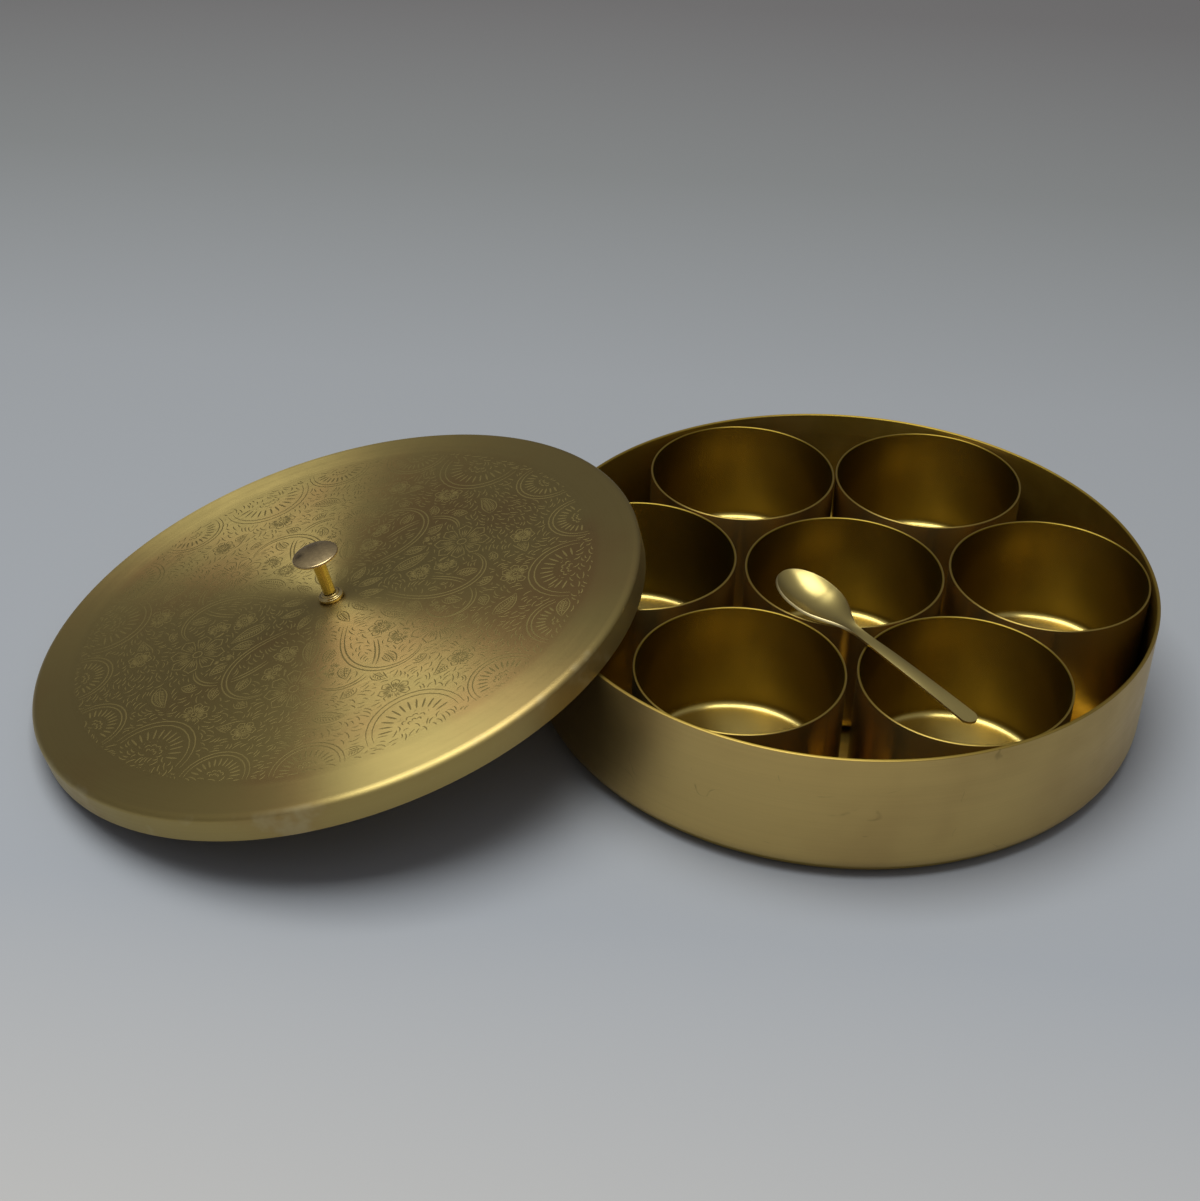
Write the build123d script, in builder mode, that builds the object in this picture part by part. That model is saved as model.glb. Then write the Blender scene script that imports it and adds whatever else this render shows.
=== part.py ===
from build123d import *
from math import asin, atan2, cos, degrees, hypot, pi, radians, sin, sqrt
import os

# A round brass spice box: a shallow pan that holds seven loose cups, a lid with a riveted knob and a
# small spoon. Lengths are in millimetres. The origin is on the pan's axis, on the surface it stands on.
# The lid is off: its edge stands on that surface and its skirt leans on the pan's rim.

# Round corners and domes are turned in this many straight steps, because their true curves would make
# the seven cups heavy. The rims' small edges are bevelled for the same reason.
round_steps = 3

# Pan
pan_radius = 102.0
pan_height = 45.8
pan_wall = 1.2
pan_corner = 7.6
pan_edge = 0.4

# Cups. Seven alike fill the pan: three stand side by side across its middle, with some room to spare.
cup_room = 2.7
cup_rim_height = 44.6
cup_wall = 1.0
cup_corner = 6.6
cup_edge = 0.35
cup_clearance = 0.3
seat_clearance = 0.1

# The six outer cups, counted from the right one round towards the back. Each has a share of the play
# that is left between the cups round the ring, on the side where the next cup stands.
right_cup_turn = 4.4
ring_play = {"cup_right": 0.18, "cup_back_right": 0.01, "cup_back_left": 0.06, "cup_left": 0.33,
             "cup_front_left": 0.22, "cup_front_right": 0.20}
centre_turn = -74.0
centre_share = 0.9

# Lid
lid_wall = 1.2
lid_fit = 0.6
lid_skirt = 9.3
lid_corner = 2.9
lid_rise = 1.5
lid_seat = 6.0
lid_edge = 0.3
lid_overlap = 39.9
lid_side = 189.9
lid_lean_turn = 8.0
lean_clearance = 0.1

# Knob: a rivet with a wide head, a sleeve and a collar on the lid, and a washer under it
knob_height = 18.9
head_radius = 7.7
head_edge = 1.1
head_crown = 0.9
head_flat = 1.0
shank_radius = 1.5
bore_clearance = 0.05
sleeve_radius = 2.05
sleeve_top_radius = 2.3
collar_radius = 4.2
collar_height = 2.4
collar_flange = 1.6
collar_bevel = 0.4
collar_step_radius = 2.9
washer_radius = 3.6
washer_thick = 0.8
washer_clearance = 0.02
peen_radius = 2.4
peen_height = 0.9
peen_flat = 1.4

# Spoon, along its own +X from the tip of its bowl to the end of its handle. Its heights are those of
# its upper side above the cups' rims.
spoon_length = 87.2
bowl_length = 36.2
bowl_half_width = 9.2
bowl_widest = 15.4
bowl_depth = 4.8
bowl_wall = 0.95
brim = 0.9
axis_slope = 0.25
waist_share = 0.58
neck_depth = 0.8
hollow_end = 5.5
hollow_slope = 0.25
neck_half_width = 1.6
handle_half_width = 2.75
handle_thick = 0.9
tip_height = 4.9
neck_height = 1.3
end_height = -1.0
handle_sag = 0.5
spoon_swing = 8.4
spoon_aside = 16.7
spoon_along = 38.7

pan_inside = pan_radius - pan_wall
cup_radius = (pan_inside - cup_room) / 3
ring_radius = pan_inside - cup_clearance - cup_radius
lid_inside = pan_radius + lid_fit
lid_radius = lid_inside + lid_wall


def ring_turns():
    """The angle of each outer cup, in degrees."""
    closest = degrees(2 * asin((2 * cup_radius + cup_clearance) / (2 * ring_radius)))
    play = 360 - len(ring_play) * closest
    turns = {}
    turn = right_cup_turn
    for name, share in ring_play.items():
        turns[name] = turn
        turn += closest + share * play
    return turns


def cup_places():
    """Each cup's centre, as x and y."""
    places = {name: (ring_radius * cos(radians(t)), ring_radius * sin(radians(t)))
              for name, t in ring_turns().items()}
    shift = centre_share * (ring_radius - 2 * cup_radius - cup_clearance)
    places["cup_centre"] = (shift * cos(radians(centre_turn)), shift * sin(radians(centre_turn)))
    return places


def lid_centre():
    """The middle of the skirt's lower edge, as x and y."""
    away = pan_radius + lid_radius - lid_overlap
    return away * cos(radians(lid_side)), away * sin(radians(lid_side))


def edge_height(lean, radius, across):
    """How high a point of the skirt's lower edge stands, for its turn from the uphill direction."""
    low = lean_clearance + lid_radius * sin(lean)
    return low + radius * cos(across) * sin(lean)


def lowest_crossing(lean):
    """The skirt's lowest height where its lower edge passes over the pan's rim."""
    x, y = lid_centre()
    turn = radians(lid_lean_turn)
    lowest = 2 * pan_height
    for radius in (lid_inside, lid_radius):
        for side in (1, -1):
            inside, outside = 0.0, pi
            for _ in range(60):
                across = (inside + outside) / 2
                along = radius * cos(across) * cos(lean)
                aside = side * radius * sin(across)
                px = x + along * cos(turn) - aside * sin(turn)
                py = y + along * sin(turn) + aside * cos(turn)
                if hypot(px, py) < pan_radius:
                    inside = across
                else:
                    outside = across
            lowest = min(lowest, edge_height(lean, radius, inside))
    return lowest


def lid_lean():
    """The lean at which the skirt rests on the rim, in radians."""
    low, high = 0.02, 1.0
    for _ in range(60):
        lean = (low + high) / 2
        if lowest_crossing(lean) < pan_height + lean_clearance:
            low = lean
        else:
            high = lean
    return high


lean = lid_lean()
lid_x, lid_y = lid_centre()
uphill = Vector(cos(lean) * cos(radians(lid_lean_turn)), cos(lean) * sin(radians(lid_lean_turn)), sin(lean))
lid_up = Vector(-sin(lean) * cos(radians(lid_lean_turn)), -sin(lean) * sin(radians(lid_lean_turn)), cos(lean))
lid_plane = Plane(origin=(lid_x, lid_y, lean_clearance + lid_radius * sin(lean)), x_dir=uphill, z_dir=lid_up)
lid_top = lid_skirt + lid_rise
lid_under = lid_top - lid_wall


def upright(plane):
    """The plane's own upright section, with its sketch's x along the plane's x and y along its normal."""
    return Plane(origin=plane.origin, x_dir=plane.x_dir, z_dir=-plane.y_dir)


def spin_axis(plane):
    """The line through the plane's origin along its normal."""
    return Axis(plane.origin, plane.z_dir)


def corner_points(centre, radius, start, stop):
    """Points round a section's corner, from one angle to another, in degrees."""
    turns = [radians(start + (stop - start) * step / round_steps) for step in range(round_steps + 1)]
    return [(centre[0] + radius * cos(turn), centre[1] + radius * sin(turn)) for turn in turns]


def dome_points(start, radius, height, rise):
    """Points over a shallow dome's section, out from its flat middle to its edge, lower by its rise."""
    ball = (radius ** 2 + rise ** 2) / (2 * rise)
    steps = [start + (radius - start) * step / round_steps for step in range(1, round_steps + 1)]
    return [(start, height)] + [(x, height - ball + sqrt(ball ** 2 - x ** 2)) for x in steps]


def spun_dish(radius, height, wall, corner):
    """Half the section of a round pan with a rounded bottom edge, standing on its sketch's x axis."""
    centre = (radius - corner, corner)
    Polyline((0, 0), *corner_points(centre, corner, -90, 0), (radius, height), (radius - wall, height),
             *corner_points(centre, corner - wall, 0, -90), (0, wall), close=True)


# The pan
with BuildPart() as box_pan:
    with BuildSketch(Plane.XZ):
        with BuildLine():
            spun_dish(pan_radius, pan_height, pan_wall, pan_corner)
        make_face()
    revolve(axis=Axis.Z)
    chamfer(box_pan.edges().group_by(Axis.Z)[-1], pan_edge)
box_pan.part.label = "box_pan"

# The seven loose cups, all spun alike, standing on the pan's floor
cup_floor = pan_wall + seat_clearance
cups = {}
for name, (x, y) in cup_places().items():
    place = Plane(origin=(x, y, cup_floor))
    with BuildPart() as cup:
        with BuildSketch(upright(place)):
            with BuildLine():
                spun_dish(cup_radius, cup_rim_height - cup_floor, cup_wall, cup_corner)
            make_face()
        revolve(axis=spin_axis(place))
        chamfer(cup.edges().group_by(Axis.Z)[-1], cup_edge)
    cup.part.label = name
    cups[name] = cup

# The lid: a skirt that slips over the pan, a rounded shoulder and a slightly domed top, with a hole for
# the knob's rivet
rivet_hole = shank_radius + bore_clearance
shoulder = lid_radius - lid_corner
skirt_straight = lid_skirt - lid_corner
with BuildPart() as lid_pan:
    with BuildSketch(upright(lid_plane)):
        with BuildLine():
            turned_corner = (shoulder, skirt_straight)
            Polyline((0, lid_under), (0, lid_top), *dome_points(lid_seat, shoulder, lid_top, lid_rise),
                     *corner_points(turned_corner, lid_corner, 90, 0)[1:], (lid_radius, 0), (lid_inside, 0),
                     *corner_points(turned_corner, lid_corner - lid_wall, 0, 90),
                     *dome_points(lid_seat, shoulder, lid_under, lid_rise)[-2::-1], close=True)
        make_face()
    revolve(axis=spin_axis(lid_plane))
    chamfer(lid_pan.edges().group_by(spin_axis(lid_plane))[0], lid_edge)
    with BuildSketch(lid_plane):
        Circle(rivet_hole)
    extrude(amount=lid_top + lid_wall, mode=Mode.SUBTRACT)
lid_pan.part.label = "lid_pan"

# The knob stands on the middle of the lid's top
knob_plane = lid_plane.offset(lid_top)
head_under = knob_height - head_crown - head_edge
head_rim = head_radius - head_edge / 2
washer_top = -lid_wall - washer_clearance
washer_under = washer_top - washer_thick
with BuildPart() as knob_rivet:
    with BuildSketch(upright(knob_plane)):
        with BuildLine():
            Polyline((0, washer_under - peen_height), (0, knob_height),
                     *dome_points(head_flat, head_rim, knob_height, head_crown),
                     *corner_points((head_rim, head_under + head_edge / 2), head_edge / 2, 90, -90)[1:],
                     (shank_radius, head_under), (shank_radius, washer_under), (peen_radius, washer_under),
                     (peen_flat, washer_under - peen_height), close=True)
        make_face()
    revolve(axis=spin_axis(knob_plane))
knob_rivet.part.label = "knob_rivet"

with BuildPart() as knob_collar:
    with BuildSketch(upright(knob_plane)) as collar_section:
        with BuildLine():
            Polyline((rivet_hole, 0), (collar_radius, 0), (collar_radius, collar_flange),
                     (collar_step_radius, collar_flange), (collar_step_radius, collar_height),
                     (rivet_hole, collar_height), close=True)
        make_face()
        chamfer(collar_section.vertices().group_by(Axis.X)[-1], collar_bevel)
    revolve(axis=spin_axis(knob_plane))
knob_collar.part.label = "knob_collar"

with BuildPart() as knob_sleeve:
    with BuildSketch(upright(knob_plane)):
        with BuildLine():
            Polyline((rivet_hole, collar_height), (sleeve_radius, collar_height),
                     (sleeve_top_radius, head_under), (rivet_hole, head_under), close=True)
        make_face()
    revolve(axis=spin_axis(knob_plane))
knob_sleeve.part.label = "knob_sleeve"

with BuildPart() as knob_washer:
    with BuildSketch(knob_plane.offset(washer_under)):
        Circle(washer_radius)
        Circle(rivet_hole, mode=Mode.SUBTRACT)
    extrude(amount=washer_thick)
knob_washer.part.label = "knob_washer"

# The spoon lies across the rims of the middle cup and the front right cup, beside where the two touch
places = cup_places()
centre_x, centre_y = places["cup_centre"]
front_x, front_y = places["cup_front_right"]
spoon_turn = atan2(front_y - centre_y, front_x - centre_x) + radians(spoon_swing)
along = Vector(cos(spoon_turn), sin(spoon_turn))
aside = Vector(-sin(spoon_turn), cos(spoon_turn))
between_cups = Vector((centre_x + front_x) / 2, (centre_y + front_y) / 2, cup_rim_height)
spoon_place = Plane(origin=between_cups - along * spoon_along - aside * spoon_aside, x_dir=along)
bowl_tilt = degrees(atan2(tip_height - neck_height, bowl_length))
bowl_place = spoon_place.location * Location((0, 0, tip_height), (0, bowl_tilt, 0))


def turning_height(half_width, depth, x):
    """The height of the sloping axis that the bowl is turned on, above its brim. Where the bowl is widest
    it makes this depth this half width."""
    return (half_width ** 2 - depth ** 2) / (2 * depth) + (bowl_widest - x) * axis_slope


def bowl_axis(half_width, depth):
    return Axis((0, 0, turning_height(half_width, depth, 0)), (1, 0, -axis_slope))


def bowl_section(half_width, inset, depth, length, end_depth, end_slope):
    """The bowl's section along its middle, down from its axis, with the brim at height 0."""
    waist = (bowl_widest + length) / 2
    TangentArc((bowl_widest, -depth), (inset, 0), tangent=(-1, 0))
    Spline((bowl_widest, -depth), (waist, -waist_share * depth), (length, -end_depth),
           tangents=((1, 0), (1, end_slope)))
    Polyline((length, -end_depth), (length, turning_height(half_width, depth, length)),
             (inset, turning_height(half_width, depth, inset)), (inset, 0))


# The bowl's outside and its hollow are turned, so that a shallower place is a narrower one
with BuildPart() as bowl_outside:
    with BuildSketch(Plane.XZ):
        with BuildLine():
            bowl_section(bowl_half_width, 0, bowl_depth, bowl_length, neck_depth, 0)
        make_face()
    revolve(axis=bowl_axis(bowl_half_width, bowl_depth))
    split(bisect_by=Plane.XY, keep=Keep.BOTTOM)

hollow_half_width = bowl_half_width - brim
hollow_depth = bowl_depth - bowl_wall
with BuildPart() as bowl_hollow:
    with BuildSketch(Plane.XZ):
        with BuildLine():
            bowl_section(hollow_half_width, brim, hollow_depth, bowl_length - hollow_end, 0, hollow_slope)
        make_face()
    revolve(axis=bowl_axis(hollow_half_width, hollow_depth))

handle_start = bowl_length - hollow_end / 2
handle_reach = spoon_length + handle_thick
with BuildPart() as handle:
    with BuildSketch(Plane.XZ):
        with BuildLine():
            rise = (tip_height - neck_height) / bowl_length
            start_height = neck_height + (bowl_length - handle_start) * rise
            middle = ((bowl_length + handle_reach) / 2, (neck_height + end_height) / 2 + handle_sag)
            Line((handle_start, start_height), (bowl_length, neck_height))
            ThreePointArc((bowl_length, neck_height), middle, (handle_reach, end_height))
            Line((handle_reach, end_height), (handle_reach, end_height - handle_thick))
            ThreePointArc((bowl_length, neck_height - handle_thick),
                          (middle[0], middle[1] - handle_thick),
                          (handle_reach, end_height - handle_thick))
            Line((bowl_length, neck_height - handle_thick), (handle_start, start_height - handle_thick))
            Line((handle_start, start_height - handle_thick), (handle_start, start_height))
        make_face()
    extrude(amount=2 * handle_half_width, both=True)
    round_centre = spoon_length - handle_half_width
    with BuildSketch(Plane.XY.offset(end_height - 2 * handle_thick)):
        with BuildLine():
            Polyline((round_centre, -handle_half_width), (bowl_length, -neck_half_width),
                     (handle_start, -neck_half_width), (handle_start, neck_half_width),
                     (bowl_length, neck_half_width), (round_centre, handle_half_width))
            CenterArc((round_centre, 0), handle_half_width, -90, 180)
        make_face()
    extrude(amount=tip_height - end_height + 4 * handle_thick, mode=Mode.INTERSECT)

with BuildPart() as spoon:
    add(handle.part.moved(spoon_place.location))
    add(bowl_outside.part.moved(bowl_place))
    add(bowl_hollow.part.moved(bowl_place), mode=Mode.SUBTRACT)
spoon.part.label = "spoon"

os.makedirs("parts", exist_ok=True)
export_step(box_pan.part, "parts/box_pan.step")
for name, cup in cups.items():
    export_step(cup.part, f"parts/{name}.step")
export_step(lid_pan.part, "parts/lid_pan.step")
export_step(knob_rivet.part, "parts/knob_rivet.step")
export_step(knob_collar.part, "parts/knob_collar.step")
export_step(knob_sleeve.part, "parts/knob_sleeve.step")
export_step(knob_washer.part, "parts/knob_washer.step")
export_step(spoon.part, "parts/spoon.step")
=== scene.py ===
"""The looks of a round brass spice box: a pan of seven cups, its engraved lid leaning on it and a spoon."""

import math

import bpy
import numpy as np
from mathutils import Euler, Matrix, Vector


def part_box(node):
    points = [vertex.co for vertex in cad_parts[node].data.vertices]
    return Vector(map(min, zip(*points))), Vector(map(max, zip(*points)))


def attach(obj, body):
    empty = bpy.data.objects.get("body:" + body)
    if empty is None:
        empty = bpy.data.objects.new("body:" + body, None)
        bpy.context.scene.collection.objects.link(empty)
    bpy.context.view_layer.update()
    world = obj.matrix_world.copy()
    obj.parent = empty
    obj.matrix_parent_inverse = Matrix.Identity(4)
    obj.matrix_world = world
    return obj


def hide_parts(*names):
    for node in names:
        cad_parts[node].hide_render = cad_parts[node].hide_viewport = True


MM = 0.001
CUPS = ("cup_right", "cup_back_right", "cup_back_left", "cup_left", "cup_front_left", "cup_front_right",
        "cup_centre")

# The camera, in metres and degrees, and its focal length over the picture's width, both in pixels
CAMERA_PLACE = (-0.020842, -0.513563, 0.381185)
CAMERA_TURN = (55.300, -0.636, 7.080)
SENSOR_WIDTH = 36.0
FOCAL_SHARE = 1843.3 / 1200

# Sizes in millimetres of the smooth pieces that stand for the CAD nodes. A dish's sheen says how far a
# painted highlight brightens its floor. The cups' undersides are just clear of the pan's floor.
PAN = dict(radius=102.0, height=45.8, wall=1.2, corner=7.6, edge=0.35, floor=1.2, inner_corner=6.4,
           sheen=0.0)
CUP = dict(radius=32.7, height=43.3, wall=0.75, corner=6.6, edge=0.25, floor=4.6, inner_corner=2.9,
           sheen=1.0)
CUP_UNDERSIDE = 1.3

# The lid: its skirt, its flat seat for the knob, the rise of its dome, and the shoulder's roll, which is
# wider than it is high. Past the band's radius there is no engraving.
LID_RADIUS, LID_WALL, LID_SKIRT, LID_RISE, LID_SEAT = 103.5, 1.0, 9.18, 1.5, 6.0
LID_ROLL_WIDE, LID_ROLL_HIGH = 2.6, 1.9
LID_LIP = 0.45
LID_TOP = LID_SKIRT + LID_RISE
LID_SHOULDER = LID_RADIUS - LID_ROLL_WIDE
LID_BALL = (LID_SHOULDER ** 2 + LID_RISE ** 2) / (2 * LID_RISE)
LID_BAND = 89.5

# The knob, over the lid's top, and the washer's middle over the skirt's lower edge
RIVET_HOLE = 1.55
SHANK_RADIUS, TAIL_RADIUS, TAIL_HEIGHT = 1.5, 2.4, 0.9
WASHER_HEIGHT = 9.18
WASHER_UNDER = -2.02
KNOB_HEIGHT, HEAD_RADIUS, HEAD_EDGE, HEAD_CROWN = 18.7, 7.7, 1.1, 0.9

# How many steps each round piece is turned in
PAN_TURNS, CUP_TURNS, LID_TURNS, KNOB_TURNS = 240, 144, 288, 72

# Brass as it reflects, from pale to deep, the painted shade inside the dishes, the painted highlights on the
# cups' floors and the spoon's rim, and the knob's plated head
PALE_BRASS = (0.68, 0.59, 0.34)
BRASS = (0.62, 0.445, 0.158)
PAINTED_SHADE_BRASS = (0.365, 0.245, 0.034)
PAINTED_FLOOR_BRASS = (0.60, 0.47, 0.16)
LID_BRASS = (0.44, 0.335, 0.120)
COLLAR_BRASS = (0.60, 0.46, 0.20)
SLEEVE_BRASS = (0.56, 0.43, 0.12)
SPOON_BRASS = (0.43, 0.335, 0.122)
SPOON_RIM_HIGHLIGHT_BRASS = (0.80, 0.66, 0.34)
TARNISH = (0.40, 0.25, 0.095)
NICKEL = (0.55, 0.41, 0.215)
SPECK = (0.05, 0.03, 0.015, 1)
SMUDGE = (0.04, 0.03, 0.025, 1)

# Noise in the brass, in cells for each metre: its fine and broad rings, stains, blots, rubbed patches,
# sway and specks, and the share of cells that hold no speck
FINE_RINGS, BROAD_RINGS = 2600.0, 240.0
CLOUDS, BLOTS, RUBBED, SWAY, SPECKS = 19.0, 75.0, 38.0, 24.0, 75.0
CLEAN_SHARE = 0.93

# The engraved field's inner and outer radius, a cut's width, the room kept round it and how far its
# middle stands above its sides, in millimetres
FIELD_INNER, FIELD_OUTER = 8.0, 88.6
CUT_WIDTH, CUT_CLEAR = 0.50, 0.8
CUT_LOW, CUT_HIGH = -0.004, 0.021
FILLER_TRIES, FILLER_REACH, FILLER_CLEAR = 90000, 88, 0.6

# The room: its tone at the horizon and overhead, the lamp, and the floor's shares and tones from near to far,
# over its depth in metres. The floor's tones are painted shade that darkens it into the distance, as the
# lamp's light falls off.
HORIZON, ZENITH = (0.085, 0.082, 0.082), (0.34, 0.34, 0.34)
LAMP_PLACE, LAMP_AIM, LAMP_SIZE = (-0.27, -0.02, 1.60), (-0.16, 0.02, 0), (1.15, 1.15)
LAMP_WATTS, LAMP_TINT = 22.0, (0.96, 1.0, 0.97)
FLOOR_REACH, FLOOR_NEAR, FLOOR_FAR = 3.0, -0.35, 0.75
FLOOR_SHADE_TONES = ((0.08, (0.53, 0.51, 0.505)), (0.20, (0.37, 0.383, 0.423)), (0.50, (0.325, 0.333, 0.36)),
               (0.72, (0.24, 0.243, 0.25)), (1.0, (0.19, 0.18, 0.185)))


class Tree:
    """A material's or world's node tree, with a short way to add a node and feed its inputs."""

    def __init__(self, owner):
        owner.use_nodes = True
        self.tree = owner.node_tree
        self.tree.nodes.clear()

    def add(self, kind, feeds=(), **settings):
        node = self.tree.nodes.new(kind)
        for name, value in settings.items():
            setattr(node, name, value)
        for socket, value in dict(feeds).items():
            if isinstance(value, bpy.types.NodeSocket):
                self.tree.links.new(value, node.inputs[socket])
            else:
                node.inputs[socket].default_value = value
        return node

    def math(self, operation, *values):
        node = self.add("ShaderNodeMath", dict(enumerate(values)), operation=operation)
        return node.outputs[0]

    def vector(self, operation, *values):
        node = self.add("ShaderNodeVectorMath", dict(enumerate(values)), operation=operation)
        return node.outputs[1] if operation in ("LENGTH", "DOT_PRODUCT") else node.outputs[0]

    def noise(self, place, scale, detail=2.0, roughness=0.5):
        feeds = {"Vector": place, "Scale": scale, "Detail": detail, "Roughness": roughness}
        return self.add("ShaderNodeTexNoise", feeds).outputs["Fac"]

    def ramp(self, value, low, high, to_low=0.0, to_high=1.0):
        feeds = {"Value": value, "From Min": low, "From Max": high, "To Min": to_low, "To Max": to_high}
        return self.add("ShaderNodeMapRange", feeds, interpolation_type="SMOOTHSTEP").outputs[0]

    def blend(self, share, one, other):
        node = self.add("ShaderNodeMix", {0: share, 6: one, 7: other}, data_type="RGBA")
        return node.outputs[2]


def colour(rgb, strength=1.0):
    return (*[strength * c for c in rgb], 1.0)


class Spin:
    """The axis that a round piece was spun on: a point on it and its direction."""

    def __init__(self, centre, axis=(0, 0, 1)):
        self.centre = Vector(centre)
        self.axis = Vector(axis).normalized()
        self.turn = Vector((0, 0, 1)).rotation_difference(self.axis)

    def raised(self, height):
        return Spin(self.centre + self.axis * height, self.axis)

    def points(self, local):
        """Points in metres, from points about the axis in millimetres."""
        turn = np.array(self.turn.to_matrix())
        return np.asarray(local) * MM @ turn.T + np.array(self.centre)

    def place(self, tree):
        """The surface point, from the axis's point, in the piece's own upright frame, in metres."""
        point = tree.add("ShaderNodeTexCoord").outputs["Object"]
        feeds = {"Vector": point, "Location": self.centre, "Rotation": self.turn.to_euler()}
        return tree.add("ShaderNodeMapping", feeds, vector_type="TEXTURE").outputs[0]

    def round_about(self, tree):
        """The direction of the brushed lines, round the axis."""
        point = tree.add("ShaderNodeTexCoord").outputs["Object"]
        away = tree.vector("SUBTRACT", point, tuple(self.centre))
        return tree.vector("NORMALIZE", tree.vector("CROSS_PRODUCT", tuple(self.axis), away))


def spun_brass(name, spin, base, roughness, anisotropy, line_length, stain, dish=None, wear=0.0, specks=False,
               hair=0.0, waver=3.0, lines=1.0):
    """Spun brass, finely brushed in rings about its axis, with faint stains and fine scratches. A dish has
    painted shade inside, a painted highlight on its floor and painted shade on its rougher rim."""
    material = bpy.data.materials.new(name)
    tree = Tree(material)
    place = spin.place(tree)
    parts = tree.add("ShaderNodeSeparateXYZ", {0: place}).outputs
    away = tree.vector("LENGTH", tree.add("ShaderNodeCombineXYZ", {0: parts[0], 1: parts[1]}).outputs[0])
    turn = tree.math("ARCTAN2", parts[1], parts[0])
    # Rings vary across the lines, and slowly along them, with no seam where the turn starts again
    across = tree.math("SUBTRACT", parts[2], away)
    slow_x = tree.math("MULTIPLY", tree.math("COSINE", turn), 1 / line_length)
    slow_y = tree.math("MULTIPLY", tree.math("SINE", turn), 1 / line_length)

    def rings(per_metre):
        wide = tree.math("MULTIPLY", across, per_metre)
        return tree.add("ShaderNodeCombineXYZ", {0: slow_x, 1: slow_y, 2: wide}).outputs[0]

    fine = tree.noise(rings(FINE_RINGS), 1.0, 3.0, 0.6)
    broad = tree.noise(rings(BROAD_RINGS), 1.0, 2.0, 0.5)
    clouds = tree.noise(place, CLOUDS, 3.0, 0.55)
    blots = tree.noise(place, BLOTS, 3.0, 0.7)
    ground = colour(base)
    if dish:
        # Painted shade: inside the middle of the wall the brass is darker, as shade falls inside the dish.
        # The floor is painted paler, brightest towards the wall, as a painted highlight, and painted shade
        # darkens the floor's middle.
        wall = [(dish["radius"] - share * dish["wall"]) * MM for share in (0.7, 0.3)]
        inner = tree.ramp(away, *wall, 1.0, 0.0)
        ground = tree.blend(inner, ground, colour(PAINTED_SHADE_BRASS))
        low = tree.ramp(parts[2], dish["floor"] * MM, (dish["floor"] + 2.0) * MM, dish["sheen"], 0.0)
        low = tree.math("MULTIPLY", inner, low)
        ground = tree.blend(low, ground, colour(PAINTED_FLOOR_BRASS))
        middle = tree.ramp(away, dish["radius"] * 0.35 * MM, dish["radius"] * 0.85 * MM, 0.55, 0.0)
        ground = tree.blend(tree.math("MULTIPLY", low, middle), ground, colour(PAINTED_FLOOR_BRASS, 0.4))
    tarnished = tree.math("MULTIPLY", tree.ramp(clouds, 0.42, 0.72), stain)
    toned = tree.blend(tarnished, ground, colour(TARNISH))
    toned = tree.blend(tree.ramp(broad, 0.35, 0.75, 0.0, 0.12 * lines), toned, colour(base, 0.70))
    toned = tree.blend(tree.ramp(fine, 0.40, 0.72, 0.0, 0.14 * lines), toned, colour(base, 0.62))
    rough = tree.math("ADD", tree.ramp(blots, 0.35, 0.75, -0.02 * lines, 0.04 * lines),
                      tree.ramp(fine, 0.3, 0.7, -0.04 * lines, 0.05 * lines))
    rough = tree.math("ADD", rough, roughness)
    if dish:
        # Painted shade darkens the rim to dim its highlight, and the rim is rougher
        edge = tree.ramp(parts[2], (dish["height"] - 0.35) * MM, (dish["height"] - 0.1) * MM)
        toned = tree.blend(tree.math("MULTIPLY", edge, 0.6), toned, colour(PAINTED_SHADE_BRASS))
        rough = tree.math("ADD", rough, tree.math("MULTIPLY", edge, 0.12))
    if wear:
        # The plain band outside the engraving is a little paler and duller
        plain = tree.ramp(away, (LID_BAND - 1) * MM, (LID_BAND + 2) * MM)
        toned = tree.blend(tree.math("MULTIPLY", plain, 0.4), toned, colour(LID_BRASS, 1.05))
        rough = tree.math("ADD", rough, tree.math("MULTIPLY", plain, 0.02))
        # Rubbed patches low on the side, paler and duller
        rubbed = tree.math("MULTIPLY", tree.ramp(tree.noise(place, RUBBED, 4.0, 0.7), 0.52, 0.70), wear)
        side = tree.ramp(away, (LID_RADIUS - 2.5) * MM, (LID_RADIUS - 0.5) * MM)
        rubbed = tree.math("MULTIPLY", rubbed, side)
        toned = tree.blend(rubbed, toned, colour(PALE_BRASS, 0.9))
        rough = tree.math("ADD", rough, tree.math("MULTIPLY", rubbed, 0.12))
    if specks:
        # A few small dark specks
        cells = tree.add("ShaderNodeTexVoronoi", {"Vector": place, "Scale": SPECKS})
        chance = tree.add("ShaderNodeSeparateColor", {0: cells.outputs["Color"]}).outputs[0]
        spot = tree.math("MULTIPLY", tree.ramp(cells.outputs["Distance"], 0.028, 0.045, 1.0, 0.0),
                         tree.math("GREATER_THAN", chance, CLEAN_SHARE))
        toned = tree.blend(spot, toned, SPECK)
        rough = tree.math("ADD", rough, tree.math("MULTIPLY", spot, 0.3))
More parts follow.
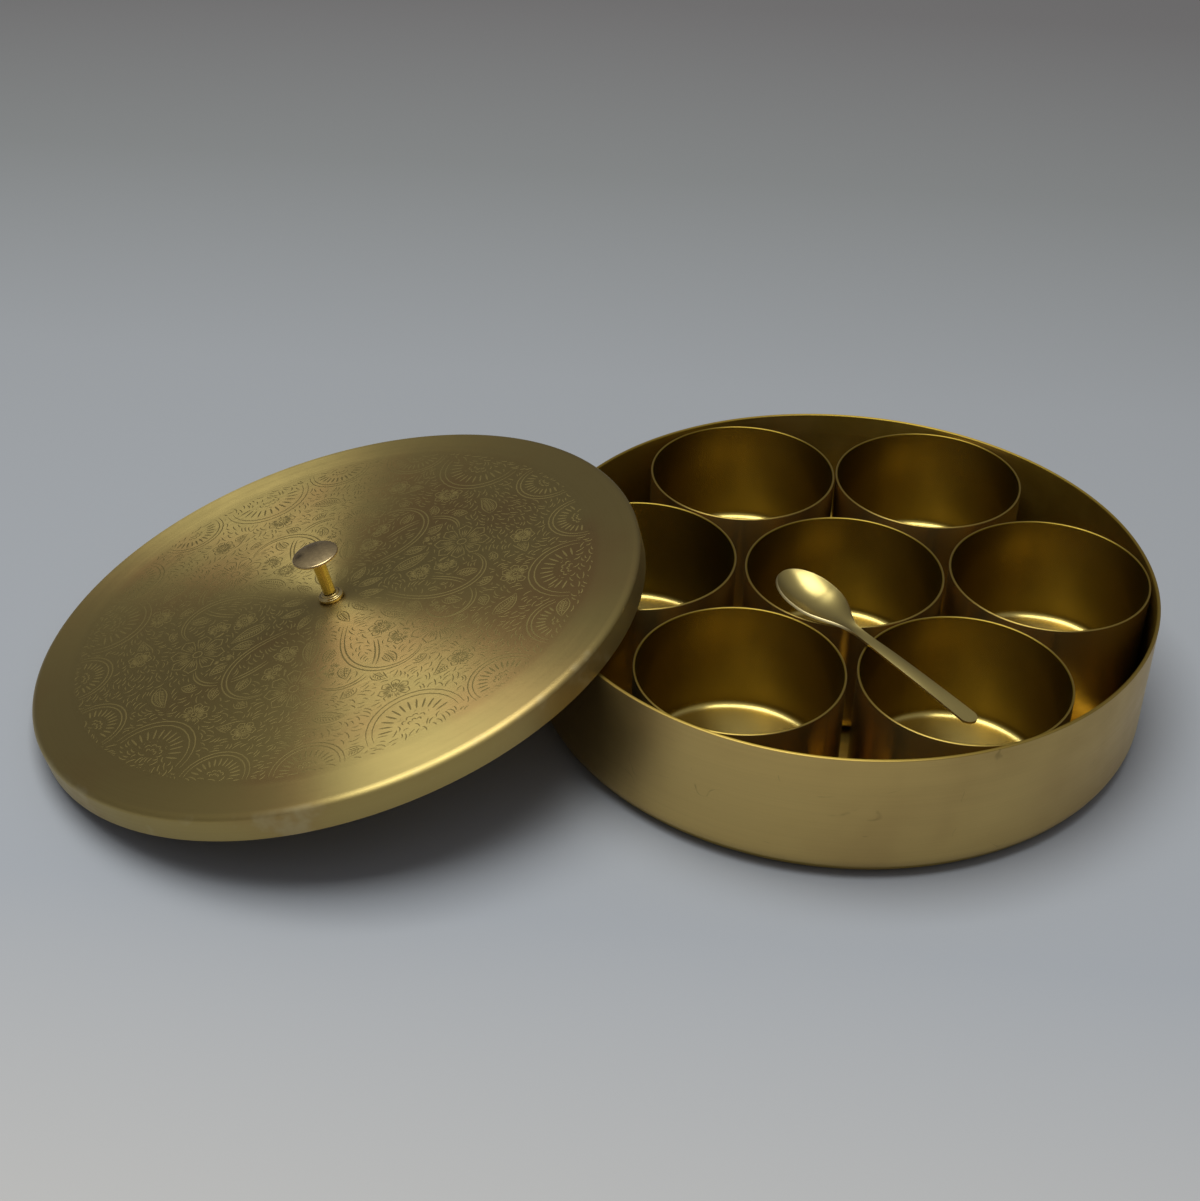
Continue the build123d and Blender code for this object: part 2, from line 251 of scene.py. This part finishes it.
    # A few hairline scratches, each a thin crossing of a stretched noise
    feeds = {"Vector": place, "Rotation": (0.4, 0.3, 0.9), "Scale": (14, 90, 60)}
    slanted = tree.noise(tree.add("ShaderNodeMapping", feeds).outputs[0], 1.0, 1.0)
    hairs = tree.math("ABSOLUTE", tree.math("SUBTRACT", slanted, 0.5))
    hairs = tree.ramp(hairs, 0.0, 0.0035, 1.0, 0.0)
    hairs = tree.math("MULTIPLY", hairs, tree.ramp(blots, 0.52, 0.62))
    toned = tree.blend(tree.math("MULTIPLY", hairs, hair), toned, colour(base, 0.45))
    sway = tree.noise(place, SWAY, 1.0)
    height = tree.math("ADD", tree.math("MULTIPLY", sway, waver), tree.math("MULTIPLY", fine, lines))
    height = tree.math("SUBTRACT", height, tree.math("MULTIPLY", hairs, hair))
    bump = tree.add("ShaderNodeBump", {"Height": height, "Strength": 0.12, "Distance": 0.0001})
    shader = tree.add("ShaderNodeBsdfPrincipled", {
        "Base Color": toned, "Metallic": 1.0, "Roughness": rough, "Anisotropic": anisotropy,
        "Anisotropic Rotation": 0.25, "Tangent": spin.round_about(tree), "Normal": bump.outputs[0]})
    tree.add("ShaderNodeOutputMaterial", {"Surface": shader.outputs[0]})
    return material


def polished_metal(name, base, roughness, worn, grain=900.0, smudge=None, uneven=1.0):
    """Polished or satin metal with a fine even grain and dull patches, and a dark smudge if one is given."""
    material = bpy.data.materials.new(name)
    tree = Tree(material)
    place = tree.add("ShaderNodeTexCoord").outputs["Object"]
    patches = tree.noise(place, 210.0, 3.0, 0.6)
    fine = tree.noise(place, grain, 2.0, 0.5)
    toned = tree.blend(tree.ramp(patches, 0.40, 0.75, 0.0, worn), colour(base), colour(base, 0.6))
    if smudge is not None:
        reach = tree.vector("LENGTH", tree.vector("SUBTRACT", place, tuple(smudge)))
        reach = tree.math("ADD", reach, tree.math("MULTIPLY", tree.noise(place, 500.0), 0.0024))
        toned = tree.blend(tree.ramp(reach, 0.0014, 0.0034, 0.65, 0.0), toned, SMUDGE)
    rough = tree.ramp(patches, 0.3, 0.7, roughness - 0.03 * uneven, roughness + 0.08 * uneven)
    rough = tree.math("ADD", rough, tree.ramp(fine, 0.3, 0.7, -0.03 * uneven, 0.03 * uneven))
    bump = tree.add("ShaderNodeBump", {"Height": fine, "Strength": 0.1 * uneven, "Distance": 0.00005})
    shader = tree.add("ShaderNodeBsdfPrincipled", {
        "Base Color": toned, "Metallic": 1.0, "Roughness": rough, "Normal": bump.outputs[0]})
    tree.add("ShaderNodeOutputMaterial", {"Surface": shader.outputs[0]})
    return material


def new_piece(name, points, faces, material, body, slot, *nodes, smooth=True):
    """A mesh that moves with a body and has a material slot, in place of the CAD nodes that are given."""
    mesh = bpy.data.meshes.new(name)
    mesh.from_pydata([tuple(p) for p in points], [], faces)
    mesh.polygons.foreach_set("use_smooth", [smooth] * len(mesh.polygons))
    mesh.materials.append(material)
    piece = bpy.data.objects.new(name, mesh)
    bpy.context.scene.collection.objects.link(piece)
    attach(piece, body)
    if nodes:
        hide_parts(*nodes)
    return piece


def arc(x, y, radius, start, stop, steps):
    """Points round a section's corner, from one angle to another, in degrees."""
    turns = np.radians(np.linspace(start, stop, steps + 1))
    return [(x + radius * math.cos(t), y + radius * math.sin(t)) for t in turns]


def dome(start, radius, height, rise, steps):
    """Points over a shallow dome's section, out from its flat middle to its edge, lower by its rise."""
    ball = (radius ** 2 + rise ** 2) / (2 * rise)
    return [(x, height - ball + math.sqrt(ball ** 2 - x ** 2)) for x in np.linspace(start, radius, steps + 1)]


def dish(radius, height, wall, corner, edge, floor, inner_corner, sheen):
    """The whole section of a spun dish, from the middle of its underside round to the middle of its floor."""
    middle = radius - corner
    inside = radius - wall
    foot = inside - inner_corner
    return ([(0, 0), (middle * 0.5, 0)] + arc(middle, corner, corner, -90, 0, 12)
            + [(radius, height * 0.6)] + arc(radius - edge, height - edge, edge, 0, 90, 4)
            + arc(inside + edge, height - edge, edge, 90, 180, 4) + [(inside, height * 0.6)]
            + arc(foot, floor + inner_corner, inner_corner, 0, -90, 12) + [(foot * 0.5, floor), (0, floor)])


def lathe(name, spin, section, turns, material, body, slot, *nodes):
    """A section turned round its axis. A section that doesn't begin on the axis is closed on itself."""
    points, rows = [], []
    for x, y in section:
        count = 1 if x < 1e-9 else turns
        rows.append(list(range(len(points), len(points) + count)))
        points += [(x * math.cos(2 * math.pi * i / turns), x * math.sin(2 * math.pi * i / turns), y)
                   for i in range(count)]
    if section[0][0] > 0:
        rows.append(rows[0])
    faces = []
    for low, high in zip(rows, rows[1:]):
        for i in range(turns):
            j = (i + 1) % turns
            corners = [low[i % len(low)], low[j % len(low)], high[j % len(high)], high[i % len(high)]]
            faces.append(list(dict.fromkeys(corners)))
    return new_piece(name, spin.points(points), faces, material, body, slot, *nodes)


def make_pan_and_cups():
    """The pan stands at the origin, and each cup where its CAD node is."""
    place = Spin((0, 0, 0))
    brass = spun_brass("pan_brushed_brass", place, BRASS, 0.36, 0.75, 0.8, 0.35, PAN, hair=0.5, lines=0.7)
    lathe("pan", place, dish(**PAN), PAN_TURNS, brass, "pan", "pan_brass", "box_pan")
    for name in CUPS:
        low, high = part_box(name)
        place = Spin(((low.x + high.x) / 2, (low.y + high.y) / 2, CUP_UNDERSIDE * MM))
        brass = spun_brass(name + "_brushed_brass", place, BRASS, 0.26, 0.82, 2.5, 0.10, CUP, specks=True,
                           waver=0.8, lines=0.12)
        lathe(name + "_shell", place, dish(**CUP), CUP_TURNS, brass, name, "cup_brass", name)


def lid_spin():
    """The lid's axis at the skirt's lower edge, from the washer that is riveted to its underside."""
    points = np.array([v.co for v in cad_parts["knob_washer"].data.vertices])
    points = np.unique(points.round(7), axis=0)
    centre = points.mean(0)
    axis = np.linalg.svd(points - centre)[2][2]
    return Spin(centre, axis * np.sign(axis[2])).raised(-WASHER_HEIGHT * MM)


def make_lid(place):
    """The section runs over the top and the shoulder, round the skirt's lip and back under the top."""
    under = LID_TOP - LID_WALL
    straight = LID_SKIRT - LID_ROLL_HIGH
    inside = LID_RADIUS - LID_WALL
    inner_corner = 0.5
    section = [(RIVET_HOLE, LID_TOP)] + dome(LID_SEAT, LID_SHOULDER, LID_TOP, LID_RISE, 24)
    section += [(LID_SHOULDER + LID_ROLL_WIDE * math.sin(t), straight + LID_ROLL_HIGH * math.cos(t))
                for t in np.radians(np.linspace(0, 90, 19)[1:])]
    section += arc(LID_RADIUS - LID_LIP, LID_LIP, LID_LIP, 0, -90, 3)
    section += arc(inside + LID_LIP, LID_LIP, LID_LIP, -90, -180, 3)
    section += arc(inside - inner_corner, straight, inner_corner, 0, 90, 5)
    section += dome(LID_SEAT, LID_SHOULDER, under, LID_RISE, 24)[-2::-1] + [(RIVET_HOLE, under)]
    brass = spun_brass("lid_spun_brass", place, LID_BRASS, 0.38, 0.85, 1.2, 0.9, wear=0.5, hair=0.15,
                       waver=1.0, lines=0.55)
    lathe("lid", place, section, LID_TURNS, brass, "lid", "lid_brass", "lid_pan")


def make_knob(place):
    """The rivet, from its crowned head down to the tail that is closed under the washer, and its collar."""
    head_under = KNOB_HEIGHT - HEAD_CROWN - HEAD_EDGE
    rim = HEAD_RADIUS - HEAD_EDGE / 2
    tail_end = WASHER_UNDER - TAIL_HEIGHT
    section = [(0, KNOB_HEIGHT)] + dome(0.6, rim, KNOB_HEIGHT, HEAD_CROWN, 14)
    section += arc(rim, head_under + HEAD_EDGE / 2, HEAD_EDGE / 2, 90, -90, 8)[1:]
    section += [(SHANK_RADIUS, head_under), (SHANK_RADIUS, WASHER_UNDER), (TAIL_RADIUS, WASHER_UNDER),
                (1.4, tail_end), (0, tail_end)]
    smudge = place.points([(-4.9, -1.2, KNOB_HEIGHT - 0.5)])[0]
    nickel = polished_metal("knob_worn_nickel", NICKEL, 0.26, 0.25, smudge=smudge)
    lathe("knob_head", place, section, KNOB_TURNS, nickel, "lid", "knob_metal", "knob_rivet")
    collar = [(RIVET_HOLE, 0), (4.2, 0)] + arc(3.75, 1.15, 0.45, 0, 90, 5) + [(2.9, 1.6)]
    collar += arc(2.55, 2.05, 0.35, 0, 90, 4) + [(RIVET_HOLE, 2.4)]
    sheen = polished_metal("knob_collar_brass", COLLAR_BRASS, 0.16, 0.15, uneven=0.5)
    lathe("knob_foot", place, collar, KNOB_TURNS, sheen, "lid", "knob_brass", "knob_collar")


def bent(start, heading, length, turn, tighten=1.0, step=0.9):
    """A stroke on the lid that turns evenly, or faster towards its end, in millimetres and radians."""
    count = max(2, round(length / step))
    along = (np.arange(count) + 0.5) / count
    ways = heading + turn * along ** tighten
    steps = np.c_[np.cos(ways), np.sin(ways)] * length / count
    return np.vstack([start, start + np.cumsum(steps, 0)])


def towards(way, reach=1.0):
    """The point at a turn and a distance from the middle."""
    return reach * np.array([math.cos(way), math.sin(way)])


class Engraving:
    """Strokes on the lid's top. A new stroke stops where an older one is in its way: a grid of cells over
    the lid holds what is taken, each cell and the grid's half width in millimetres."""
    CELL = 0.25
    HALF = 92.0

    def __init__(self, seed):
        self.random = np.random.default_rng(seed)
        cells = int(2 * self.HALF / self.CELL)
        self.taken = np.zeros((cells, cells), bool)
        self.strokes = []

    def cells(self, points):
        return ((np.asarray(points) + self.HALF) / self.CELL).astype(int)

    def are_taken(self, points):
        x, y = self.cells(points).T
        return self.taken[x.clip(0, len(self.taken) - 1), y.clip(0, len(self.taken) - 1)]

    def draw(self, group, clear=CUT_CLEAR, width=CUT_WIDTH):
        """Keeps the free runs of a motif's strokes, and then takes the room that they need."""
        kept = []
        for points in group:
            away = np.hypot(*np.asarray(points).T)
            free = ~self.are_taken(points) & (away > FIELD_INNER) & (away < FIELD_OUTER)
            run = []
            for point, is_free in zip(points, free):
                if is_free:
                    run.append(point)
                else:
                    if len(run) > 1:
                        kept.append(run)
                    run = []
            if len(run) > 1:
                kept.append(run)
        reach = max(1, round(clear / self.CELL))
        for run in kept:
            run = np.array(run)
            self.strokes.append((run, width))
            fine = np.vstack([run[:-1] + (run[1:] - run[:-1]) * s for s in (0, 0.35, 0.7, 1.0)])
            for x, y in self.cells(fine):
                self.taken[max(0, x - reach):x + reach + 1, max(0, y - reach):y + reach + 1] = True

    def leaf(self, base, heading, length, width, bend):
        """A leaf: two edges, a midrib and slanting hatches."""
        spine = bent(base, heading, length, bend)
        share = np.linspace(0, 1, len(spine))
        ways = heading + bend * share
        side = np.c_[-np.sin(ways), np.cos(ways)] * (width * np.sin(np.pi * share ** 0.8))[:, None]
        group = [spine + side, spine - side, spine[1:-1]]
        for k in range(2, len(spine) - 1):
            for hand in (1, -1):
                end = spine[k + 1] + 0.72 * hand * side[k + 1]
                begin = spine[k] + 0.16 * hand * side[k]
                if np.hypot(*(end - begin)) > 1.0:
                    group.append([begin, (begin + end) / 2 + 0.06 * (end - begin)[::-1] * (1, -1), end])
        self.draw(group)

    def rosette(self, centre, radius, petals, turned):
        """A round eye and its petals, each with three short veins."""
        group = [centre + np.array([towards(t, radius * 0.17) for t in np.linspace(0, 2 * np.pi, 9)])]
        for k in range(petals):
            way = turned + 2 * np.pi * k / petals
            half = np.pi / petals
            reach = radius * np.array([0.26, 0.55, 0.85, 1.0, 0.85, 0.55, 0.26])
            spread = half * np.array([-0.35, -0.78, -0.72, 0, 0.72, 0.78, 0.35])
            group.append([centre + towards(way + s, r) for r, s in zip(reach, spread)])
            for s in (-0.4, 0.0, 0.4):
                group.append([centre + towards(way + s * half * 0.8, radius * r)
                              for r in (0.36, 0.56, 0.76 - abs(s) * 0.2)])
        self.draw(group)

    def fan(self, base, heading, radius, spread, count):
        """A palmette: short feathers round a few scalloped rows, under a double arch."""
        ways = heading + spread * (np.arange(count) / (count - 1) - 0.5)
        feathers = [bent(base + towards(way, radius * 0.62), way, radius * 0.36, 0.0, step=0.7)
                    for way in ways]
        self.draw(feathers, width=0.75)
        rows = []
        for share, bumps in ((0.50, 5), (0.34, 4), (0.18, 3)):
            for k in range(bumps):
                way = heading + spread * 0.8 * ((k + 0.5) / bumps - 0.5)
                half = spread * 0.36 / bumps
                rows.append([base + towards(way + half * t, radius * (share + 0.07 * (1 - t * t)))
                             for t in (-1, -0.5, 0, 0.5, 1)])
        self.draw(rows)
        for reach in (1.14, 1.30):
            arch = [base + towards(heading + (spread / 2 + 0.25) * t, radius * reach)
                    for t in np.linspace(-1, 1, 15)]
            self.draw([arch], width=0.55)

    def scroll(self, start, heading, length, turn, hand):
        """A stem of two lines that curls up round a flower, with leaves along its outer side."""
        inner = bent(start, heading, length, hand * turn, 1.7)
        outer = bent(start + towards(heading - hand * np.pi / 2, 1.3), heading, length * 1.06, hand * turn,
                     1.7)
        self.draw([inner, outer], width=0.58)
        eye = inner[-1] + towards(heading + hand * (turn + np.pi / 2), 3.6)
        self.rosette(eye, 4.4, 6, heading)
        for share in (0.16, 0.34, 0.52, 0.70):
            k = int(share * (len(inner) - 1))
            way = heading + hand * turn * share ** 1.7
            self.leaf(outer[k] + towards(way - hand * 1.0, 1.0), way - hand * 0.9, 9.5 - 5 * share, 2.1,
                      hand * 0.7)

    def fill(self):
        """Short curved cuts that follow a slowly turning flow, in what room is left."""
        waves = self.random.uniform(-0.09, 0.09, (6, 2))
        phases = self.random.uniform(0, 2 * np.pi, 6)
        tries = self.random.uniform(-FILLER_REACH, FILLER_REACH, (FILLER_TRIES, 2))
        for point in tries[np.hypot(*tries.T) < FILLER_REACH]:
            flow = np.sin(waves @ point + phases).sum() * 0.9
            length = self.random.uniform(1.8, 4.0)
            turn = self.random.choice((-1, 1)) * self.random.uniform(0.5, 1.5)
            stroke = bent(point, flow, length, turn, step=0.7)
            if not self.are_taken(stroke).any():
                self.draw([stroke], clear=FILLER_CLEAR, width=0.46)


def design():
    """A ring of leaves round the knob, and six times the same group of fans, rosettes, scrolls and leaves."""
    cuts = Engraving(seed=7)
    for k in range(12):
        way = 2 * np.pi * k / 12
        cuts.leaf(towards(way, 9.5), way, 8.5, 1.7, 0.25 * (-1) ** k)
    for k in range(6):
        way = 2 * np.pi * k / 6 + cuts.random.uniform(-0.05, 0.05)
        for part in (0, 1, 2):
            foot = way + part * np.pi / 9
            cuts.fan(towards(foot, 87.0 - 4 * (part == 0)), foot + np.pi, 9.0 + 3 * (part == 0), 2.6, 12)
        cuts.rosette(towards(way + np.pi / 6, 47), 9.6, 8, way)
        cuts.scroll(towards(way - 0.05, 20), way - 0.5, 62, 4.6, 1)
        cuts.scroll(towards(way + 0.10, 34), way - 0.2, 46, 4.4, -1)
        cuts.rosette(towards(way, 63), 5.2, 7, way)
        cuts.leaf(towards(way + np.pi / 6, 22), way + np.pi / 6, 14, 2.6, 0.3)
        cuts.rosette(towards(way + 0.27, 30), 4.6, 6, way)
        cuts.rosette(towards(way + np.pi / 9, 66), 4.2, 6, way)
        for hand in (-1, 1):
            cuts.leaf(towards(way + np.pi / 6 + hand * 0.16, 62), way + np.pi / 6 + hand * 1.1, 12, 2.5,
                      hand * 0.8)
            cuts.leaf(towards(way + hand * 0.20, 84), way + hand * 1.9, 9.5, 2.0, -hand * 0.5)
    cuts.fill()
    return cuts.strokes


def make_engraving(place):
    """Each cut is a fine raised line with two sloping sides, laid on the lid's dome."""
    points, faces = [], []
    for run, width in design():
        ahead = np.gradient(run, axis=0)
        ahead /= np.hypot(*ahead.T)[:, None].clip(1e-9)
        side = np.c_[-ahead[:, 1], ahead[:, 0]]
        share = np.linspace(0, 1, len(run))
        taper = 0.35 + 0.65 * np.minimum(1, 4 * np.minimum(share, 1 - share))
        if np.hypot(*(run[0] - run[-1])) < 0.5:
            taper[:] = 1
        half = (width / 2 * taper)[:, None]
        rows = []
        for shift, lift in ((half, CUT_LOW), (0 * half, CUT_HIGH), (-half, CUT_LOW)):
            flat = run + side * shift
            top = LID_TOP - LID_BALL + np.sqrt(LID_BALL ** 2 - (flat ** 2).sum(1))
            rows.append(np.c_[flat, top + lift * np.maximum(taper, 0.5)])
        start = len(points)
        points += list(np.stack(rows, 1).reshape(-1, 3))
        for i in range(len(run) - 1):
            a = start + 3 * i
            faces += [(a, a + 3, a + 4, a + 1), (a + 1, a + 4, a + 5, a + 2)]
    brass = polished_metal("engraved_brass", [c * 0.80 for c in LID_BRASS], 0.44, 0.1, uneven=0.3)
    new_piece("lid_engraving", place.points(points), faces, brass, "lid", "lid_brass", smooth=False)


# The spoon lies at this place and turn. Its half widths, depths and heights are knots along its length,
# all in millimetres. Its bowl is an ellipse as far as its broadest point, and its handle ends round.
SPOON_PLACE = (-19.3638, -12.0333, 44.6)
SPOON_TURN = -47.101
SPOON_BROAD, SPOON_HALF, SPOON_DEEP = 14.0, 9.2, 3.4
SPOON_LENGTH, SPOON_END = 87.2, 2.68
SPOON_THICK = 0.85
SPOON_BEVEL = 0.16
SPOON_CURVE = 2.2
SPOON_WIDTHS = ((14, 9.2), (18, 8.95), (22, 7.8), (26, 5.7), (30, 3.5), (33, 2.35), (36, 1.85), (40, 1.72),
                (50, 1.95), (65, 2.25), (83, 2.68))
SPOON_DEPTHS = ((14, 3.4), (19, 3.15), (24, 2.35), (28, 1.45), (32, 0.62), (36, 0.16), (41, 0), (88, 0))
SPOON_HEIGHTS = ((0, 4.9), (10, 3.95), (20, 3.0), (28, 2.3), (34, 1.82), (40, 1.5), (50, 1.1), (60, 0.7),
                 (75, -0.1), (88, -1.0))


def through(knots, x):
    """A smooth curve through the knots, by cubic pieces whose slopes are those between their neighbours."""
    xs, ys = np.array(knots, float).T
    slopes = np.gradient(ys, xs)
    k = np.clip(np.searchsorted(xs, x, side="right") - 1, 0, len(xs) - 2)
    h = xs[k + 1] - xs[k]
    t = (x - xs[k]) / h
    return ((2 * t ** 3 - 3 * t ** 2 + 1) * ys[k] + (t ** 3 - 2 * t ** 2 + t) * h * slopes[k]
            + (3 * t ** 2 - 2 * t ** 3) * ys[k + 1] + (t ** 3 - t ** 2) * h * slopes[k + 1])


def make_spoon():
    """A curved sheet, row by row along the spoon, that is then thickened downwards and bevelled."""
    handle_end = SPOON_LENGTH - SPOON_END
    bowl = SPOON_BROAD * (1 - np.cos(np.linspace(0, np.pi / 2, 30)))
    handle = np.linspace(SPOON_BROAD + 0.7, handle_end, 90)
    cap = handle_end + SPOON_END * np.sin(np.linspace(0.12, 1.5, 9))
    xs = np.concatenate([bowl, handle, cap])
    near_tip = (1 - xs / SPOON_BROAD).clip(0, 1)
    widths = np.where(near_tip > 0, SPOON_HALF * np.sqrt(1 - near_tip ** 2) + 0.02, through(SPOON_WIDTHS, xs))
    past = (xs - handle_end).clip(0)
    widths = np.where(past > 0, np.sqrt((SPOON_END ** 2 - past ** 2).clip(0.01)), widths)
    depths = np.where(near_tip > 0, SPOON_DEEP * (1 - near_tip ** SPOON_CURVE), through(SPOON_DEPTHS, xs))
    heights = through(SPOON_HEIGHTS, xs)
    across = np.sin(np.linspace(-np.pi / 2, np.pi / 2, 25))
    points = []
    for x, wide, deep, high in zip(xs, widths, depths, heights):
        # The sheet's own thickness leans outwards at the brim, so its upper side is drawn in by that
        steep = SPOON_CURVE * deep / max(wide, 0.5)
        inside = max(wide - SPOON_THICK * steep / math.hypot(1, steep), 0.15)
        shift = 0.35 * max(0, 1 - x / 6)
        points += [(x + shift, inside * s, high - deep * (1 - abs(s) ** SPOON_CURVE)) for s in across]
    turn = math.radians(SPOON_TURN)
    points = np.array(points)
    world = np.c_[points[:, 0] * math.cos(turn) - points[:, 1] * math.sin(turn),
                  points[:, 0] * math.sin(turn) + points[:, 1] * math.cos(turn), points[:, 2]] + SPOON_PLACE
    wide = len(across)
    faces = [(a, a + wide, a + wide + 1, a + 1) for k in range(len(xs) - 1)
             for a in range(k * wide, k * wide + wide - 1)]
    satin = polished_metal("spoon_satin_brass", SPOON_BRASS, 0.31, 0.03, 1800.0, uneven=0.08)
    piece = new_piece("spoon_sheet", world * MM, faces, satin, "spoon", "spoon_brass", "spoon")
    solid = piece.modifiers.new("sheet", "SOLIDIFY")
    solid.thickness = SPOON_THICK * MM
    solid.offset = -1.0
    solid.use_even_offset = False
    # The sheet's rim gets a paler brass: a painted highlight for the thin bright line round the brim.
    solid.material_offset_rim = 1
    piece.data.materials.append(polished_metal("spoon_rim_painted_highlight", SPOON_RIM_HIGHLIGHT_BRASS, 0.36, 0.03, uneven=0.1))
    edge = piece.modifiers.new("edge", "BEVEL")
    edge.width = SPOON_BEVEL * MM
    edge.segments = 2
    edge.limit_method = "ANGLE"
    edge.angle_limit = math.radians(50)


def dress(node, material):
    """Gives a CAD node its material, and leaves its shape as it is."""
    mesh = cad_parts[node].data
    mesh.materials.clear()
    mesh.materials.append(material)


def make_floor():
    """A pale floor whose colour darkens a little into the distance: painted shade for the lamp's light
    falling off.
    """
    mesh = bpy.data.meshes.new("floor")
    corners = [(x * FLOOR_REACH, y * FLOOR_REACH, 0) for x, y in ((-1, -1), (1, -1), (1, 1), (-1, 1))]
    mesh.from_pydata(corners, [], [(0, 1, 2, 3)])
    floor = bpy.data.objects.new("floor", mesh)
    bpy.context.scene.collection.objects.link(floor)
    material = bpy.data.materials.new("floor_card")
    tree = Tree(material)
    place = tree.add("ShaderNodeTexCoord").outputs["Object"]
    far = tree.add("ShaderNodeSeparateXYZ", {0: place}).outputs[1]
    depth = tree.add("ShaderNodeMapRange", {0: far, 1: FLOOR_NEAR, 2: FLOOR_FAR}).outputs[0]
    shade = tree.add("ShaderNodeValToRGB", {0: depth})
    stops = shade.color_ramp.elements
    for share, tone in FLOOR_SHADE_TONES[1:-1]:
        stops.new(share).color = colour(tone)
    for stop, (share, tone) in ((stops[0], FLOOR_SHADE_TONES[0]), (stops[-1], FLOOR_SHADE_TONES[-1])):
        stop.position, stop.color = share, colour(tone)
    shader = tree.add("ShaderNodeBsdfPrincipled", {"Base Color": shade.outputs[0], "Roughness": 0.85})
    tree.add("ShaderNodeOutputMaterial", {"Surface": shader.outputs[0]})
    mesh.materials.append(material)


def make_world():
    """A dim soft room that gets lighter overhead."""
    world = bpy.data.worlds.new("soft_room")
    bpy.context.scene.world = world
    tree = Tree(world)
    way = tree.add("ShaderNodeTexCoord").outputs["Generated"]
    up = tree.add("ShaderNodeSeparateXYZ", {0: way}).outputs[2]
    room = tree.blend(tree.ramp(up, 0.0, 1.0), colour(HORIZON), colour(ZENITH))
    light = tree.add("ShaderNodeBackground", {"Color": room, "Strength": 1.0})
    tree.add("ShaderNodeOutputWorld", {"Surface": light.outputs[0]})


def make_lamp():
    """One wide soft lamp overhead, which makes the two bright fans on the lid."""
    light = bpy.data.lights.new("overhead", "AREA")
    light.shape = "RECTANGLE"
    light.size, light.size_y = LAMP_SIZE
    light.energy = LAMP_WATTS
    light.color = LAMP_TINT
    lamp = bpy.data.objects.new("overhead", light)
    lamp.location = LAMP_PLACE
    lamp.rotation_euler = (Vector(LAMP_AIM) - Vector(LAMP_PLACE)).to_track_quat("-Z", "Y").to_euler()
    bpy.context.scene.collection.objects.link(lamp)


def make_camera():
    """The camera that was fitted to the rims' outlines."""
    data = bpy.data.cameras.new("camera")
    data.sensor_fit = "HORIZONTAL"
    data.sensor_width = SENSOR_WIDTH
    data.lens = SENSOR_WIDTH * FOCAL_SHARE
    data.clip_start = 0.01
    camera = bpy.data.objects.new("camera", data)
    camera.location = CAMERA_PLACE
    camera.rotation_euler = Euler([math.radians(a) for a in CAMERA_TURN], "XYZ")
    bpy.context.scene.collection.objects.link(camera)
    bpy.context.scene.camera = camera


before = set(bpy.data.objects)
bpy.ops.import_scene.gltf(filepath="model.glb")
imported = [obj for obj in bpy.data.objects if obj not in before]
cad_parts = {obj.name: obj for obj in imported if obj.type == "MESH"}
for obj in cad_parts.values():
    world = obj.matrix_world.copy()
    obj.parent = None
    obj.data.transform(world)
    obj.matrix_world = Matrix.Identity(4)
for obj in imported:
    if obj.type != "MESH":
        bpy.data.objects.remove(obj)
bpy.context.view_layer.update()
bpy.context.scene.view_settings.view_transform = "Standard"
make_pan_and_cups()
lid_place = lid_spin()
make_lid(lid_place)
make_knob(lid_place.raised(LID_TOP * MM))
make_engraving(lid_place)
make_spoon()
dress("knob_sleeve", polished_metal("knob_sleeve_brass", SLEEVE_BRASS, 0.17, 0.10, uneven=0.4))
dress("knob_washer", polished_metal("washer_brass", BRASS, 0.35, 0.30))
make_floor()
make_world()
make_lamp()
make_camera()
